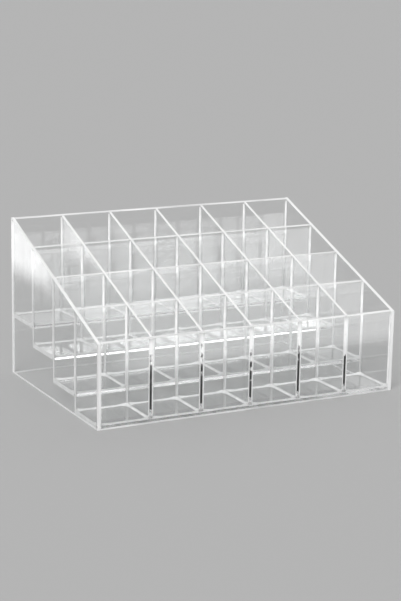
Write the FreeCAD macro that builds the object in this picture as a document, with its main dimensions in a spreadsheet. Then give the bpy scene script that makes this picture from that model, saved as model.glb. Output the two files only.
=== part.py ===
import FreeCAD, Part
import os
import Sketcher

# Tiered cosmetics organizer: clear sheets cemented edge to face round a half-lapped lattice of dividers.
# Millimetres. X runs across the columns, the front faces -Y, Z is up. The origin is mid-base, on the table.

SIZES = {
    # outside
    "width": 145.0,
    "depth": 96.5,
    "back_height": 73.0,
    "front_height": 37.0,
    # sheets
    "panel_thickness": 1.5,
    "floor_thickness": 1.5,
    "divider_thickness": 1.2,
    "row_wall_thickness": 1.2,
    # polished top arrises, held back where a sheet is too thin for them
    "edge_round": 0.25,
    "edge_limit_share": 0.4,
    # floors: how far the front one clears the table, then the rise from each tier to the next
    "floor_lift": 0.3,
    "front_rise": 7.4,
    "middle_rise": 10.2,
    "back_rise": 8.6,
    # fits: cement film in a joint, play on each side of a slot, and how high the halves of a crossing meet
    "cement_gap": 0.05,
    "slot_clearance": 0.1,
    "lap_share": 0.5,
}
COLUMNS = 6
RISES = ["front_rise", "middle_rise", "back_rise"]
TIERS = len(RISES) + 1

doc = FreeCAD.newDocument("VanityOrganizer")
sheet = doc.addObject("Spreadsheet::Sheet", "Sizes")
for line, (alias, value) in enumerate(SIZES.items(), 1):
    sheet.set(f"A{line}", alias)
    sheet.set(f"B{line}", str(value))
    sheet.setAlias(f"B{line}", alias)
doc.recompute()

# Places worked out from the sheet, as expressions.
FRONT = "(-Sizes.depth / 2)"
BACK = "(Sizes.depth / 2)"
FRONT_INSIDE = f"({FRONT} + Sizes.panel_thickness)"
BACK_INSIDE = f"({BACK} - Sizes.panel_thickness)"
INNER_WIDTH = "(Sizes.width - 2 * Sizes.panel_thickness)"
FITTED_WIDTH = f"({INNER_WIDTH} - 2 * Sizes.cement_gap)"
INNER_DEPTH = "(Sizes.depth - 2 * Sizes.panel_thickness)"
CELL_WIDTH = f"(({INNER_WIDTH} - {COLUMNS - 1} * Sizes.divider_thickness) / {COLUMNS})"
CELL_DEPTH = f"(({INNER_DEPTH} - {TIERS - 1} * Sizes.row_wall_thickness) / {TIERS})"
COLUMN_PITCH = f"({CELL_WIDTH} + Sizes.divider_thickness)"
ROW_PITCH = f"({CELL_DEPTH} + Sizes.row_wall_thickness)"


def slope(y):
    """Height, at a depth, of the one sloping plane that every top edge lies on."""
    return f"(Sizes.front_height + (Sizes.back_height - Sizes.front_height) * ({y} - {FRONT}) / Sizes.depth)"


def floor_under(tier):
    """Underside of a tier's floor; tier 1 is the front one."""
    steps = ["floor_lift"] + RISES[:tier - 1]
    return "(" + " + ".join(f"Sizes.{step}" for step in steps) + ")"


def floor_top(tier):
    return f"({floor_under(tier)} + Sizes.floor_thickness)"


def row_front(row):
    """Front face of the row wall behind a tier; behind the last tier it is the back panel's inner face."""
    return f"({FRONT_INSIDE} + {row} * {ROW_PITCH} - Sizes.row_wall_thickness)"


def row_back(row):
    """Back face of the row wall behind a tier; row 0 is the front panel's inner face."""
    return f"({FRONT_INSIDE} + {row} * {ROW_PITCH})"


def lap_height(row):
    """Where the two halves of a crossing meet, between the upper floor and the top edge."""
    foot = floor_top(row + 1)
    return f"({foot} + Sizes.lap_share * ({slope(row_front(row))} - {foot}))"


def divider_x(column):
    """Middle of the divider to the right of a column."""
    return f"(({column} - {COLUMNS} / 2) * {COLUMN_PITCH})"


def outline(body, plane, points):
    """A closed outline on one of the body's own planes, with every corner bound to the sheet."""
    sketch = body.newObject("Sketcher::SketchObject", f"{body.Label}_outline")
    support = [feature for feature in body.Origin.OriginFeatures if feature.Role == plane]
    sketch.AttachmentSupport = [(support[0], "")]
    sketch.MapMode = "FlatFace"
    corners = []
    for across, up in points:
        corners.append(FreeCAD.Vector(sheet.evalExpression(across), sheet.evalExpression(up), 0))
    count = len(corners)
    for index in range(count):
        sketch.addGeometry(Part.LineSegment(corners[index], corners[(index + 1) % count]), False)
    for index in range(count):
        sketch.addConstraint(Sketcher.Constraint("Coincident", index, 2, (index + 1) % count, 1))
    for index in range(count):
        for kind, value, place in zip(("DistanceX", "DistanceY"), corners[index], points[index]):
            number = sketch.addConstraint(Sketcher.Constraint(kind, -1, 1, index, 1, value))
            sketch.renameConstraint(number, f"{kind}_{index}")
            sketch.setExpression(f"Constraints.{kind}_{index}", place)
    return sketch


def plate(name, points, reach, middle="0"):
    """A sheet drawn from the side and padded both ways across X from its middle."""
    body = doc.addObject("PartDesign::Body", name)
    body.Label = name
    pad = body.newObject("PartDesign::Pad", f"{name}_sheet")
    pad.Profile = outline(body, "YZ_Plane", points)
    pad.SideType = "Symmetric"
    pad.setExpression("Length", reach)
    body.setExpression("Placement.Base.x", middle)
    doc.recompute()
    return body


def cross_plate(name, front, back, under, front_top, back_top):
    """A sheet that spans from side panel to side panel."""
    points = [(front, under), (back, under), (back, back_top), (front, front_top)]
    return plate(name, points, FITTED_WIDTH)


def polish_top(body, thickness):
    """Rounds the two long arrises of a sheet's top edge."""
    square = body.Tip
    top = max(square.Shape.Faces, key=lambda face: face.normalAt(0, 0).z)
    arrises = sorted(top.Edges, key=lambda edge: edge.Length)[-2:]
    names = []
    for number, edge in enumerate(square.Shape.Edges, 1):
        if any(edge.isSame(arris) for arris in arrises):
            names.append(f"Edge{number}")
    fillet = body.newObject("PartDesign::Fillet", f"{body.Label}_polish")
    fillet.Base = (square, names)
    fillet.setExpression("Radius", f"min(Sizes.edge_round; Sizes.edge_limit_share * {thickness})")
    body.Tip = fillet
    doc.recompute()


def slot_from_above(wall, foot):
    """Slots for the dividers, one at each crossing, open at the wall's top edge."""
    half = "(Sizes.divider_thickness / 2 + Sizes.slot_clearance)"
    left = f"({divider_x(1)} - {half})"
    right = f"({divider_x(1)} + {half})"
    clear = "Sizes.back_height"
    slot = wall.newObject("PartDesign::Pocket", f"{wall.Label}_slot")
    slot.Profile = outline(wall, "XZ_Plane", [(left, foot), (right, foot), (right, clear), (left, clear)])
    slot.Type = "ThroughAll"
    slot.SideType = "Symmetric"
    doc.recompute()
    slots = wall.newObject("PartDesign::LinearPattern", f"{wall.Label}_slots")
    slots.Originals = [slot]
    slots.Direction = (slot.Profile[0], ["H_Axis"])
    slots.Mode = "Spacing"
    slots.setExpression("Offset", COLUMN_PITCH)
    slots.Occurrences = COLUMNS - 1
    wall.Tip = slots
    doc.recompute()


def divider_outline():
    """From the side: stepped to stand on every floor, slotted from below over every row wall."""
    points = []
    start = f"({FRONT_INSIDE} + Sizes.cement_gap)"
    for tier in range(1, TIERS + 1):
        foot = f"({floor_top(tier)} + Sizes.cement_gap)"
        points.append((start, foot))
        if tier < TIERS:
            slot_front = f"({row_front(tier)} - Sizes.slot_clearance)"
            slot_back = f"({row_back(tier)} + Sizes.slot_clearance)"
            points.append((slot_front, foot))
            points.append((slot_front, lap_height(tier)))
            points.append((slot_back, lap_height(tier)))
            start = slot_back
        else:
            end = f"({BACK_INSIDE} - Sizes.cement_gap)"
            points.append((end, foot))
            points.append((end, slope(end)))
    points.append((points[0][0], slope(points[0][0])))
    return points


pieces = []

# Side panels close the ends of everything between them and stand on the table.
side_points = [(FRONT, "0"), (BACK, "0"), (BACK, slope(BACK)), (FRONT, slope(FRONT))]
for name, side in (("left_side_panel", -1), ("right_side_panel", 1)):
    middle = f"{side} * (Sizes.width - Sizes.panel_thickness) / 2"
    panel = plate(name, side_points, "Sizes.panel_thickness", middle)
    polish_top(panel, "Sizes.panel_thickness")
    pieces.append(panel)

# Front and back panels fit between them and stand on the table too.
for name, front, back in (("front_panel", FRONT, FRONT_INSIDE), ("back_panel", BACK_INSIDE, BACK)):
    panel = cross_plate(name, front, back, "0", slope(front), slope(back))
    polish_top(panel, "Sizes.panel_thickness")
    pieces.append(panel)

# Each tier's floor fits between the walls in front of it and behind it.
for tier in range(1, TIERS + 1):
    front = f"({row_back(tier - 1)} + Sizes.cement_gap)"
    back = f"({row_front(tier)} - Sizes.cement_gap)"
    top = floor_top(tier)
    pieces.append(cross_plate(f"tier_floor_{tier}", front, back, floor_under(tier), top, top))

# Row walls run down past the upper floor, as its riser, to the underside of the lower one.
for row in range(1, TIERS):
    front = row_front(row)
    back = row_back(row)
    wall = cross_plate(f"row_wall_{row}", front, back, floor_under(row), slope(front), slope(back))
    polish_top(wall, "Sizes.row_wall_thickness")
    slot_from_above(wall, f"({lap_height(row)} - Sizes.cement_gap)")
    pieces.append(wall)

# Column dividers drop over the row walls and stand on the floors.
for column in range(1, COLUMNS):
    name = f"column_divider_{column}"
    divider = plate(name, divider_outline(), "Sizes.divider_thickness", divider_x(column))
    polish_top(divider, "Sizes.divider_thickness")
    pieces.append(divider)

doc.recompute()
for item in doc.Objects:
    if "Invalid" in item.State or "Error" in item.State:
        raise RuntimeError(f"{item.Label} did not compute: {item.State}")
for piece in pieces:
    if piece.Shape.isNull() or not piece.Shape.isValid() or len(piece.Shape.Solids) != 1:
        raise RuntimeError(f"{piece.Label} is not one sound solid")
os.makedirs("parts", exist_ok=True)
for piece in pieces:
    piece.Shape.exportStep(f"parts/{piece.Label}.step")
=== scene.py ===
import math

import bmesh
import bpy
from mathutils import Matrix, Vector


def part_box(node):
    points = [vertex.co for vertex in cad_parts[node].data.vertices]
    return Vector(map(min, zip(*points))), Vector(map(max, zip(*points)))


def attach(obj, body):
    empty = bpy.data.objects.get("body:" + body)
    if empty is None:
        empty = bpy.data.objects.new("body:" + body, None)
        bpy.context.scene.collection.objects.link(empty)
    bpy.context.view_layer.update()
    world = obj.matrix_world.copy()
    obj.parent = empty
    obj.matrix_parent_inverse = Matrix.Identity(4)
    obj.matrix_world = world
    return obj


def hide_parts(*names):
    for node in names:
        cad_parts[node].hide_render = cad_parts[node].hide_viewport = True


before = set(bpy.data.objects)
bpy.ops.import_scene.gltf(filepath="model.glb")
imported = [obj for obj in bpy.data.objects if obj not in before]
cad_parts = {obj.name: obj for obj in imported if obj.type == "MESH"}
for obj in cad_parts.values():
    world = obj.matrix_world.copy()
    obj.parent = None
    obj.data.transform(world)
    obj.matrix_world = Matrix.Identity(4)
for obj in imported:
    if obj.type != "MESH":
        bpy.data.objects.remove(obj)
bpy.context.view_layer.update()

# Clear sheets of the organizer, the cement in their joints, and a plain studio round them.
# Metres, in the part's frame: X runs across the columns, the front faces -Y, Z is up.

MM = 0.001
QUARTER_TURN = math.radians(90)
UP = Vector((0.0, 0.0, 1.0))
AXES = "xyz"

# Photograph's camera
CAMERA_PLACE = Vector((-336.56, -640.45, 209.42)) * MM
CAMERA_YAW = math.radians(27.706)
CAMERA_PITCH = math.radians(13.329)
CAMERA_ROLL = math.radians(-1.014)
FOCAL_PIXELS = 1644.25
FRAME_HEIGHT_PIXELS = 601
SENSOR_HEIGHT = 36.0

# Sheets that close the columns and the rows, in order, and the floors between them
DIVIDERS = [f"column_divider_{number}" for number in range(1, 6)]
CROSS_WALLS = [f"row_wall_{number}" for number in range(1, 4)]
COLUMN_WALLS = ["left_side_panel", *DIVIDERS, "right_side_panel"]
ROW_WALLS = ["front_panel", *CROSS_WALLS, "back_panel"]
TIER_FLOORS = [f"tier_floor_{number}" for number in range(1, 5)]

# Meshes of the sheets: eased arrises, and the white margin along the foot of the outer panels, a band
# of painted glow
ARRIS = 0.15 * MM
ARRIS_STEPS = 2
ARRIS_PROFILE = 0.5
SHARP_ANGLE = math.radians(40)
FLAT_ANGLE = math.radians(1)
WELD_DISTANCE = 0.002 * MM
PAINTED_FOOT_GLOW = 0.6 * MM

# Finishes of a sheet, in the order of its material slots, and what sorts its faces into them
FACE, EDGE, JOINT, PATCHY_GLOW_JOINT = 0, 1, 2, 3
BROAD_FACING = 0.99
EDGE_FACING = 0.3
FOOTED = ("front", "back", "column")

# Colours
WHITE = (1.0, 1.0, 1.0, 1.0)
SHEET_TINT = (0.985, 0.988, 0.988, 1.0)
SHEET_TINT_FOR_LAMPS = (0.983, 0.985, 0.985, 1.0)
# Dimmest whites of the edge streaks, by the axis a sheet is thin along; sheets thin along Y are dimmer
# as painted shade, for less light falling on their edges
PAINTED_EDGE_DIM = {
    "x": (0.80, 0.805, 0.805, 1.0),
    "y": (0.62, 0.625, 0.625, 1.0),
    "z": (0.80, 0.805, 0.805, 1.0),
}
# White of the cement beads and the joint faces: painted glow for the light that the joints gather
CEMENT_GLOW_WHITE = (0.97, 0.97, 0.97, 1.0)
FLOOR_COLOUR = (0.49, 0.49, 0.49, 1.0)

# Surfaces: a noise is its scale along the axes and its detail, and it is spread over a range
ACRYLIC_IOR = 1.49
NOISE_SPAN = (0.3, 0.7)
WHOLE_RANGE = (0.0, 1.0)
STEEP_RANGE = (-1.0, 2.0)
SHEET_GLOSS_NOISE = ((140, 140, 140), 3)
SHEET_ROUGHNESS = (0.0, 0.03)
SHEET_WAVE_NOISE = ((70, 70, 70), 1)
WAVE_STRENGTH = 0.03
WAVE_HEIGHT = 0.3 * MM
# Streaks along the white edges: painted glow that is brighter in some places and dimmer in others
STREAKS_ACROSS = 1500
STREAKS_ALONG = 45
STREAK_DETAIL = 3
EDGE_GLOSS_NOISE = ((900, 900, 900), 2)
EDGE_ROUGHNESS = (0.08, 0.25)
CEMENT_GLOSS_NOISE = ((700, 700, 700), 2)
CEMENT_ROUGHNESS = (0.05, 0.2)
# The cement's painted glow shows more in some places than in others
CEMENT_CLOUD_NOISE = ((180, 180, 180), 4)
CEMENT_GLOW_SHARE = (0.7, 1.0)

# Joint at the dividers' front ends: white patches of painted glow with clear acrylic between them, more
# of them higher up
PATCH_NOISE = ((260, 260, 260), 3)
PATCH_HEIGHTS = (10 * MM, 36 * MM)
PATCH_SHIFT = (-0.20, 0.20)
CLEAR_PATCH_ROUGHNESS = 0.02
GLOW_PATCH_ROUGHNESS = 0.15

# Cement that has crept out of the joints: legs on the two sheets, and how far a bead stands off them
FLOOR_LEG = 0.65 * MM
FLOOR_TURN = 3.2 * MM
CORNER_RISE = 0.8
UPRIGHT_LEG = 0.5 * MM
UPRIGHT_FOOT = 0.3 * MM
UPRIGHT_DROP = 0.8 * MM
STAND_OFF = 0.01 * MM
BEAD_STEPS = 4
TURN_STEPS = 6

# Studio: an even surround, a broad key from the front left and a broader, weaker fill from behind
FLOOR_REACH = 20.0
SURROUND_STRENGTH = 0.40
KEY_FROM = Vector((-0.55, -0.60, 0.60))
KEY_STRENGTH = 2.2
KEY_SPREAD = math.radians(35)
FILL_FROM = Vector((0.50, 0.70, 0.45))
FILL_STRENGTH = 0.8
FILL_SPREAD = math.radians(90)

# Cards that the polished faces mirror. A fade runs across a card, X, or up it, Y, from dark to full.
CARDS = [
    {
        "name": "left_card",
        "place": Vector((-0.143, 0.247, 0.030)),
        "facing": Vector((1.0, 0.0, 0.0)),
        "width": 0.17,
        "height": 0.06,
        "radiance": 1.65,
        "fades": [("Y", 0.0, 0.25), ("X", 0.0, 0.6), ("X", 1.0, 0.85)],
    },
    {
        "name": "front_card",
        "place": Vector((0.075, -0.113, 0.016)),
        "facing": Vector((0.0, 1.0, 0.0)),
        "width": 0.25,
        "height": 0.032,
        "radiance": 2.2,
        "fades": [("Y", 0.0, 0.25), ("X", 0.0, 0.15), ("X", 1.0, 0.85)],
    },
    {
        "name": "back_card",
        "place": Vector((0.445, 0.900, 0.285)),
        "facing": Vector((0.0, -1.0, 0.0)),
        "width": 0.46,
        "height": 0.040,
        "radiance": 2.6,
        "fades": [("Y", 0.0, 0.25), ("Y", 1.0, 0.45), ("X", 0.0, 0.25), ("X", 1.0, 0.75)],
    },
]

# Clear sheets behind clear sheets need many bounces
CLEAR_BOUNCES = 48
THROUGH_BOUNCES = 64


def new_material(name):
    """An empty node material; returns it with its tree and output node."""
    material = bpy.data.materials.new(name)
    material.use_nodes = True
    tree = material.node_tree
    tree.nodes.clear()
    output = tree.nodes.new("ShaderNodeOutputMaterial")
    return material, tree, output


def noise(tree, scale, detail):
    """Solid noise in the part's own coordinates, stretched where the scale differs along the axes."""
    place = tree.nodes.new("ShaderNodeTexCoord")
    stretch = tree.nodes.new("ShaderNodeVectorMath")
    stretch.operation = "MULTIPLY"
    stretch.inputs[1].default_value = scale
    tree.links.new(place.outputs["Object"], stretch.inputs[0])
    texture = tree.nodes.new("ShaderNodeTexNoise")
    texture.inputs["Scale"].default_value = 1.0
    texture.inputs["Detail"].default_value = detail
    tree.links.new(stretch.outputs["Vector"], texture.inputs["Vector"])
    return texture.outputs["Fac"]


def ranged(tree, value, source, target, interpolation="LINEAR"):
    """A value carried from one range to another."""
    spread = tree.nodes.new("ShaderNodeMapRange")
    spread.interpolation_type = interpolation
    spread.inputs["From Min"].default_value = source[0]
    spread.inputs["From Max"].default_value = source[1]
    spread.inputs["To Min"].default_value = target[0]
    spread.inputs["To Max"].default_value = target[1]
    tree.links.new(value, spread.inputs["Value"])
    return spread.outputs["Result"]


def combined(tree, operation, first, second):
    """Two values put together by one operation."""
    node = tree.nodes.new("ShaderNodeMath")
    node.operation = operation
    tree.links.new(first, node.inputs[0])
    tree.links.new(second, node.inputs[1])
    return node.outputs["Value"]


def bumped(tree, height, strength, distance):
    """A normal pushed about by a height."""
    bump = tree.nodes.new("ShaderNodeBump")
    bump.inputs["Strength"].default_value = strength
    bump.inputs["Distance"].default_value = distance
    tree.links.new(height, bump.inputs["Height"])
    return bump.outputs["Normal"]


def mixed(tree, share, first, second):
    """Two shaders mixed by a share that nodes give."""
    mix = tree.nodes.new("ShaderNodeMixShader")
    tree.links.new(share, mix.inputs["Fac"])
    tree.links.new(first.outputs["BSDF"], mix.inputs[1])
    tree.links.new(second.outputs["BSDF"], mix.inputs[2])
    return mix.outputs["Shader"]


def blended(tree, share, first, second):
    """Two colours blended by a share that nodes give."""
    blend = tree.nodes.new("ShaderNodeMix")
    blend.data_type = "RGBA"
    blend.inputs["A"].default_value = first
    blend.inputs["B"].default_value = second
    tree.links.new(share, blend.inputs["Factor"])
    return blend.outputs["Result"]


def clear_shader(tree):
    """Clear acrylic that bends what is seen through it."""
    glass = tree.nodes.new("ShaderNodeBsdfPrincipled")
    glass.inputs["Base Color"].default_value = SHEET_TINT
    glass.inputs["Transmission Weight"].default_value = 1.0
    glass.inputs["IOR"].default_value = ACRYLIC_IOR
    return glass


def joint_glow_shader(tree):
    """Set cement, drawn white as painted glow of the joints."""
    glow = tree.nodes.new("ShaderNodeBsdfPrincipled")
    glow.inputs["Base Color"].default_value = CEMENT_GLOW_WHITE
    glow.inputs["IOR"].default_value = ACRYLIC_IOR
    return glow


def clear_sheet_material():
    """Polished face with faint waves and uneven gloss, which lets lamp light straight through."""
    material, tree, output = new_material("clear_sheet")
    glass = clear_shader(tree)
    gloss = ranged(tree, noise(tree, *SHEET_GLOSS_NOISE), NOISE_SPAN, SHEET_ROUGHNESS)
    waves = bumped(tree, noise(tree, *SHEET_WAVE_NOISE), WAVE_STRENGTH, WAVE_HEIGHT)
    tree.links.new(gloss, glass.inputs["Roughness"])
    tree.links.new(waves, glass.inputs["Normal"])
    through = tree.nodes.new("ShaderNodeBsdfTransparent")
    through.inputs["Color"].default_value = SHEET_TINT_FOR_LAMPS
    path = tree.nodes.new("ShaderNodeLightPath")
    shadow = path.outputs["Is Shadow Ray"]
    diffuse = path.outputs["Is Diffuse Ray"]
    lights = combined(tree, "MAXIMUM", shadow, diffuse)
    tree.links.new(mixed(tree, lights, glass, through), output.inputs["Surface"])
    return material


def cut_edge_material(thin_axis):
    """Cut and polished edge drawn white, painted glow for the light it gathers, with painted streaks of
    brighter and dimmer glow along its length, and dimmer on sheets thin along Y as painted shade.
    """
    material, tree, output = new_material(f"cut_edge_{thin_axis}")
    shader = tree.nodes.new("ShaderNodeBsdfPrincipled")
    shader.inputs["IOR"].default_value = ACRYLIC_IOR
    stretch = [STREAKS_ACROSS if axis == thin_axis else STREAKS_ALONG for axis in AXES]
    glow_streaks = ranged(tree, noise(tree, stretch, STREAK_DETAIL), NOISE_SPAN, WHOLE_RANGE)
    painted_glow = blended(tree, glow_streaks, PAINTED_EDGE_DIM[thin_axis], WHITE)
    gloss = ranged(tree, noise(tree, *EDGE_GLOSS_NOISE), NOISE_SPAN, EDGE_ROUGHNESS)
    tree.links.new(painted_glow, shader.inputs["Base Color"])
    tree.links.new(gloss, shader.inputs["Roughness"])
    tree.links.new(shader.outputs["BSDF"], output.inputs["Surface"])
    return material


def cement_material():
    """Set cement in and along a joint: glossy, and drawn white as painted glow for the light the joint
    gathers, whiter in some places than in others.
    """
    material, tree, output = new_material("joint_cement")
    glow = joint_glow_shader(tree)
    gloss = ranged(tree, noise(tree, *CEMENT_GLOSS_NOISE), NOISE_SPAN, CEMENT_ROUGHNESS)
    tree.links.new(gloss, glow.inputs["Roughness"])
    through = tree.nodes.new("ShaderNodeBsdfTransparent")
    clouds = ranged(tree, noise(tree, *CEMENT_CLOUD_NOISE), NOISE_SPAN, CEMENT_GLOW_SHARE)
    tree.links.new(mixed(tree, clouds, through, glow), output.inputs["Surface"])
    return material


def patchy_glow_joint_material():
    """A joint drawn in patches of white painted glow, with clear acrylic between them."""
    material, tree, output = new_material("patchy_glow_joint")
    glow = joint_glow_shader(tree)
    glow.inputs["Roughness"].default_value = GLOW_PATCH_ROUGHNESS
    glass = clear_shader(tree)
    glass.inputs["Roughness"].default_value = CLEAR_PATCH_ROUGHNESS
    place = tree.nodes.new("ShaderNodeTexCoord")
    split = tree.nodes.new("ShaderNodeSeparateXYZ")
    tree.links.new(place.outputs["Object"], split.inputs["Vector"])
    height = ranged(tree, split.outputs["Z"], PATCH_HEIGHTS, PATCH_SHIFT)
    patches = combined(tree, "ADD", noise(tree, *PATCH_NOISE), height)
    glowing = ranged(tree, patches, NOISE_SPAN, STEEP_RANGE)
    tree.links.new(mixed(tree, glowing, glass, glow), output.inputs["Surface"])
    return material


def as_piece(name, mesh, materials):
    """A riding piece of the object from a finished mesh."""
    data = bpy.data.meshes.new(name)
    mesh.to_mesh(data)
    mesh.free()
    for material in materials:
        data.materials.append(material)
    piece = bpy.data.objects.new(name, data)
    bpy.context.collection.objects.link(piece)
    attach(piece, "root")
    return piece


def finish_of(name, thin, face):
    """Whether a face of a sheet is clear, a white edge, a white joint or a joint with white patches;
    these whites, and the band along the foot of a panel, are painted glow.
    """
    facing = face.normal
    # The band along the foot of each panel takes the white edge finish: painted glow.
    if name.endswith("panel") and face.calc_center_median().z < PAINTED_FOOT_GLOW:
        return EDGE
    if abs(facing[thin]) > BROAD_FACING:
        return FACE
    if name.endswith("side_panel") or facing.z > EDGE_FACING:
        return EDGE
    if facing.z < -EDGE_FACING and name.startswith(FOOTED):
        return EDGE
    if abs(facing.y) > EDGE_FACING and name in TIER_FLOORS:
        return FACE
    if facing.y < -EDGE_FACING and name in DIVIDERS:
        return PATCHY_GLOW_JOINT
    # Faces against other sheets take the cement finish: painted glow.
    return JOINT


def finished_sheet(name, node, clear, edges, cement, patchy_glow_joint):
    """A sheet from its CAD solid: sharp arrises eased, and each face given its finish."""
    mesh = bmesh.new()
    mesh.from_mesh(node.data)
    bmesh.ops.remove_doubles(mesh, verts=mesh.verts, dist=WELD_DISTANCE)
    bmesh.ops.dissolve_limit(mesh, angle_limit=FLAT_ANGLE, verts=mesh.verts, edges=mesh.edges)
    arrises = [edge for edge in mesh.edges if edge.is_manifold and edge.calc_face_angle() > SHARP_ANGLE]
    bmesh.ops.bevel(
        mesh, geom=arrises, offset=ARRIS, segments=ARRIS_STEPS, profile=ARRIS_PROFILE, affect="EDGES"
    )
    if name.endswith("panel"):
        everything = mesh.verts[:] + mesh.edges[:] + mesh.faces[:]
        bmesh.ops.bisect_plane(mesh, geom=everything, plane_co=UP * PAINTED_FOOT_GLOW, plane_no=UP)
    mesh.normal_update()
    low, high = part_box(name)
    size = list(high - low)
    thin = size.index(min(size))
    for face in mesh.faces:
        face.smooth = False
        face.material_index = finish_of(name, thin, face)
    piece = as_piece(f"{name}_sheet", mesh, [clear, edges[thin], cement, patchy_glow_joint])
    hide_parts(name)


def clear_spans(walls, axis):
    """Free widths, along one axis, between neighbouring walls."""
    boxes = [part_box(wall) for wall in walls]
    return [(before[1][axis], after[0][axis]) for before, after in zip(boxes, boxes[1:])]


def top_height(y):
    """Height of the sloping top edges at a depth."""
    low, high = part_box("left_side_panel")
    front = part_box("front_panel")[1].z
    return front + (high.z - front) * (y - low.y) / (high.y - low.y)


def hollow(corner, start, finish):
    """Points on a hollow quarter round that leaves a corner's two legs at their ends."""
    hub = start + finish - corner
    points = []
    for step in range(BEAD_STEPS + 1):
        sweep = QUARTER_TURN * step / BEAD_STEPS
        points.append(hub + (corner - finish) * math.cos(sweep) + (corner - start) * math.sin(sweep))
    return points


def floor_bead(x_span, y_span, floor):
    """Sections of the bead round one cell's floor; it rises a little as it turns the cell's corners."""
    reach = FLOOR_LEG + FLOOR_TURN
    ground = floor + STAND_OFF
    left, right = x_span[0] + STAND_OFF, x_span[1] - STAND_OFF
    front, back = y_span[0] + STAND_OFF, y_span[1] - STAND_OFF
    sections = []
    for quarter, turn in enumerate([(right, front), (right, back), (left, back), (left, front)]):
        heading = QUARTER_TURN * (quarter - 1)
        first_wall = Vector((math.cos(heading), math.sin(heading), 0.0))
        second_wall = Vector((-first_wall.y, first_wall.x, 0.0))
        middle = Vector((*turn, ground)) - (first_wall + second_wall) * reach
        for step in range(TURN_STEPS + 1):
            share = step / TURN_STEPS
            angle = heading + QUARTER_TURN * share
            foot = middle + Vector((math.cos(angle), math.sin(angle), 0.0)) * FLOOR_TURN
            along_first = min(1.0, 2.0 - 2.0 * share)
            along_second = min(1.0, 2.0 * share)
            corner = middle + (first_wall * along_first + second_wall * along_second) * reach
            rise = FLOOR_LEG * (1.0 + CORNER_RISE * math.sin(math.pi * share))
            sections.append([corner] + hollow(corner, corner + UP * rise, foot))
    return sections + sections[:1]


def upright_bead(x, y, x_way, y_way, foot, top):
    """Sections, foot and top, of the bead up a cell's corner."""
    sections = []
    for height in (foot, top):
        corner = Vector((x + x_way * STAND_OFF, y + y_way * STAND_OFF, height))
        along_x = corner + Vector((x_way * UPRIGHT_LEG, 0.0, 0.0))
        along_y = corner + Vector((0.0, y_way * UPRIGHT_LEG, 0.0))
        sections.append([corner] + hollow(corner, along_x, along_y))
    return sections


def add_bead(mesh, sections):
    """A closed bead through sections, smooth on its hollow side; a loop if the first comes last."""
    looped = sections[0] is sections[-1]
    if looped:
        sections = sections[:-1]
    rings = [[mesh.verts.new(point) for point in section] for section in sections]
    followers = rings[1:] + rings[:1] if looped else rings[1:]
    size = len(sections[0])
    for ring, following in zip(rings, followers):
        for index in range(size):
            after = (index + 1) % size
            face = mesh.faces.new((ring[index], ring[after], following[after], following[index]))
            face.smooth = 0 < index < size - 1
    if not looped:
        mesh.faces.new(rings[0])
        mesh.faces.new(rings[-1])


def joint_cement(tier, floor_name, cement):
    """The cement beads of one row of cells: round each floor, and up each corner."""
    mesh = bmesh.new()
    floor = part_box(floor_name)[1].z
    y_span = clear_spans(ROW_WALLS, AXES.index("y"))[tier]
    for x_span in clear_spans(COLUMN_WALLS, AXES.index("x")):
        add_bead(mesh, floor_bead(x_span, y_span, floor))
        for x, x_way in zip(x_span, (1, -1)):
            for y, y_way in zip(y_span, (1, -1)):
                top = top_height(y) - UPRIGHT_DROP
                add_bead(mesh, upright_bead(x, y, x_way, y_way, floor + UPRIGHT_FOOT, top))
    bmesh.ops.recalc_face_normals(mesh, faces=mesh.faces)
    as_piece(f"joint_cement_{tier + 1}", mesh, [cement])


def make_floor():
    """The pale floor that the object stands on."""
    material, tree, output = new_material("pale_floor")
    shader = tree.nodes.new("ShaderNodeBsdfDiffuse")
    shader.inputs["Color"].default_value = FLOOR_COLOUR
    tree.links.new(shader.outputs["BSDF"], output.inputs["Surface"])
    mesh = bpy.data.meshes.new("floor")
    reach = FLOOR_REACH
    corners = [(-reach, -reach, 0), (reach, -reach, 0), (reach, reach, 0), (-reach, reach, 0)]
    mesh.from_pydata(corners, [], [(0, 1, 2, 3)])
    mesh.materials.append(material)
    floor = bpy.data.objects.new("floor", mesh)
    bpy.context.collection.objects.link(floor)


def place_lamp(name, lamp, place, facing):
    """A lamp at a place, turned the way it faces."""
    holder = bpy.data.objects.new(name, lamp)
    holder.location = place
    holder.rotation_euler = facing.to_track_quat("-Z", "Y").to_euler()
    bpy.context.collection.objects.link(holder)
    return holder


def soft_sun(name, place, strength, spread):
    """Broad, even light from one side, towards the object."""
    lamp = bpy.data.lights.new(name, "SUN")
    lamp.energy = strength
    lamp.angle = spread
    place_lamp(name, lamp, place, -place)


def gloss_card(name, place, facing, width, height, radiance, fades):
    """A soft box that only mirrored light shows, dark towards the sides that its fades name."""
    lamp = bpy.data.lights.new(name, "AREA")
    lamp.shape = "RECTANGLE"
    lamp.size = width
    lamp.size_y = height
    lamp.energy = radiance * width * height * math.pi
    lamp.use_nodes = True
    tree = lamp.node_tree
    path = tree.nodes.new("ShaderNodeLightPath")
    mirrored = tree.nodes.new("ShaderNodeMath")
    mirrored.operation = "GREATER_THAN"
    mirrored.inputs[1].default_value = 0.0
    tree.links.new(path.outputs["Glossy Depth"], mirrored.inputs[0])
    strength = mirrored.outputs["Value"]
    surface = tree.nodes.new("ShaderNodeNewGeometry")
    split = tree.nodes.new("ShaderNodeSeparateXYZ")
    tree.links.new(surface.outputs["Parametric"], split.inputs["Vector"])
    for axis, dark, full in fades:
        fade = ranged(tree, split.outputs[axis], (dark, full), WHOLE_RANGE, "SMOOTHSTEP")
        strength = combined(tree, "MULTIPLY", strength, fade)
    tree.links.new(strength, tree.nodes["Emission"].inputs["Strength"])
    card = place_lamp(name, lamp, place, facing)
    card.visible_camera = False
    card.visible_diffuse = False


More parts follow.
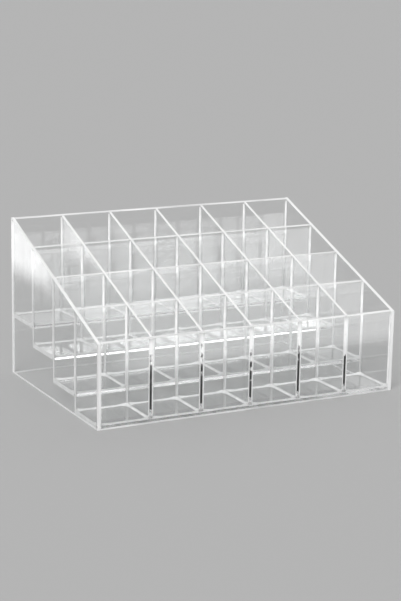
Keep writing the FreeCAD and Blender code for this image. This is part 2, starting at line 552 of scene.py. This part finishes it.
def make_light():
    """The white surround, the two soft lamps and the cards."""
    world = bpy.data.worlds.new("studio")
    bpy.context.scene.world = world
    world.use_nodes = True
    background = world.node_tree.nodes["Background"]
    background.inputs["Color"].default_value = WHITE
    background.inputs["Strength"].default_value = SURROUND_STRENGTH
    soft_sun("key", KEY_FROM, KEY_STRENGTH, KEY_SPREAD)
    soft_sun("fill", FILL_FROM, FILL_STRENGTH, FILL_SPREAD)
    for card in CARDS:
        gloss_card(**card)


def make_camera():
    """The camera, turned by its yaw, then its pitch, then its roll."""
    ahead = Vector((math.sin(CAMERA_YAW), math.cos(CAMERA_YAW), 0.0))
    right = Vector((math.cos(CAMERA_YAW), -math.sin(CAMERA_YAW), 0.0))
    view = ahead * math.cos(CAMERA_PITCH) - UP * math.sin(CAMERA_PITCH)
    level_up = UP * math.cos(CAMERA_PITCH) + ahead * math.sin(CAMERA_PITCH)
    rolled_right = right * math.cos(CAMERA_ROLL) - level_up * math.sin(CAMERA_ROLL)
    rolled_up = level_up * math.cos(CAMERA_ROLL) + right * math.sin(CAMERA_ROLL)
    turn = Matrix((rolled_right, rolled_up, -view)).transposed()
    lens = bpy.data.cameras.new("camera")
    lens.sensor_fit = "VERTICAL"
    lens.sensor_height = SENSOR_HEIGHT
    lens.lens = FOCAL_PIXELS / FRAME_HEIGHT_PIXELS * SENSOR_HEIGHT
    camera = bpy.data.objects.new("camera", lens)
    camera.matrix_world = Matrix.Translation(CAMERA_PLACE) @ turn.to_4x4()
    bpy.context.collection.objects.link(camera)
    bpy.context.scene.camera = camera


clear = clear_sheet_material()
edges = [cut_edge_material(axis) for axis in AXES]
cement = cement_material()
patchy_glow_joint = patchy_glow_joint_material()
for name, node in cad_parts.items():
    finished_sheet(name, node, clear, edges, cement, patchy_glow_joint)
for tier, floor_name in enumerate(TIER_FLOORS):
    joint_cement(tier, floor_name, cement)
make_floor()
make_light()
make_camera()

scene = bpy.context.scene
scene.view_settings.view_transform = "Standard"
scene.cycles.max_bounces = CLEAR_BOUNCES
scene.cycles.transmission_bounces = CLEAR_BOUNCES
scene.cycles.transparent_max_bounces = THROUGH_BOUNCES
scene.cycles.caustics_reflective = False
scene.cycles.caustics_refractive = False
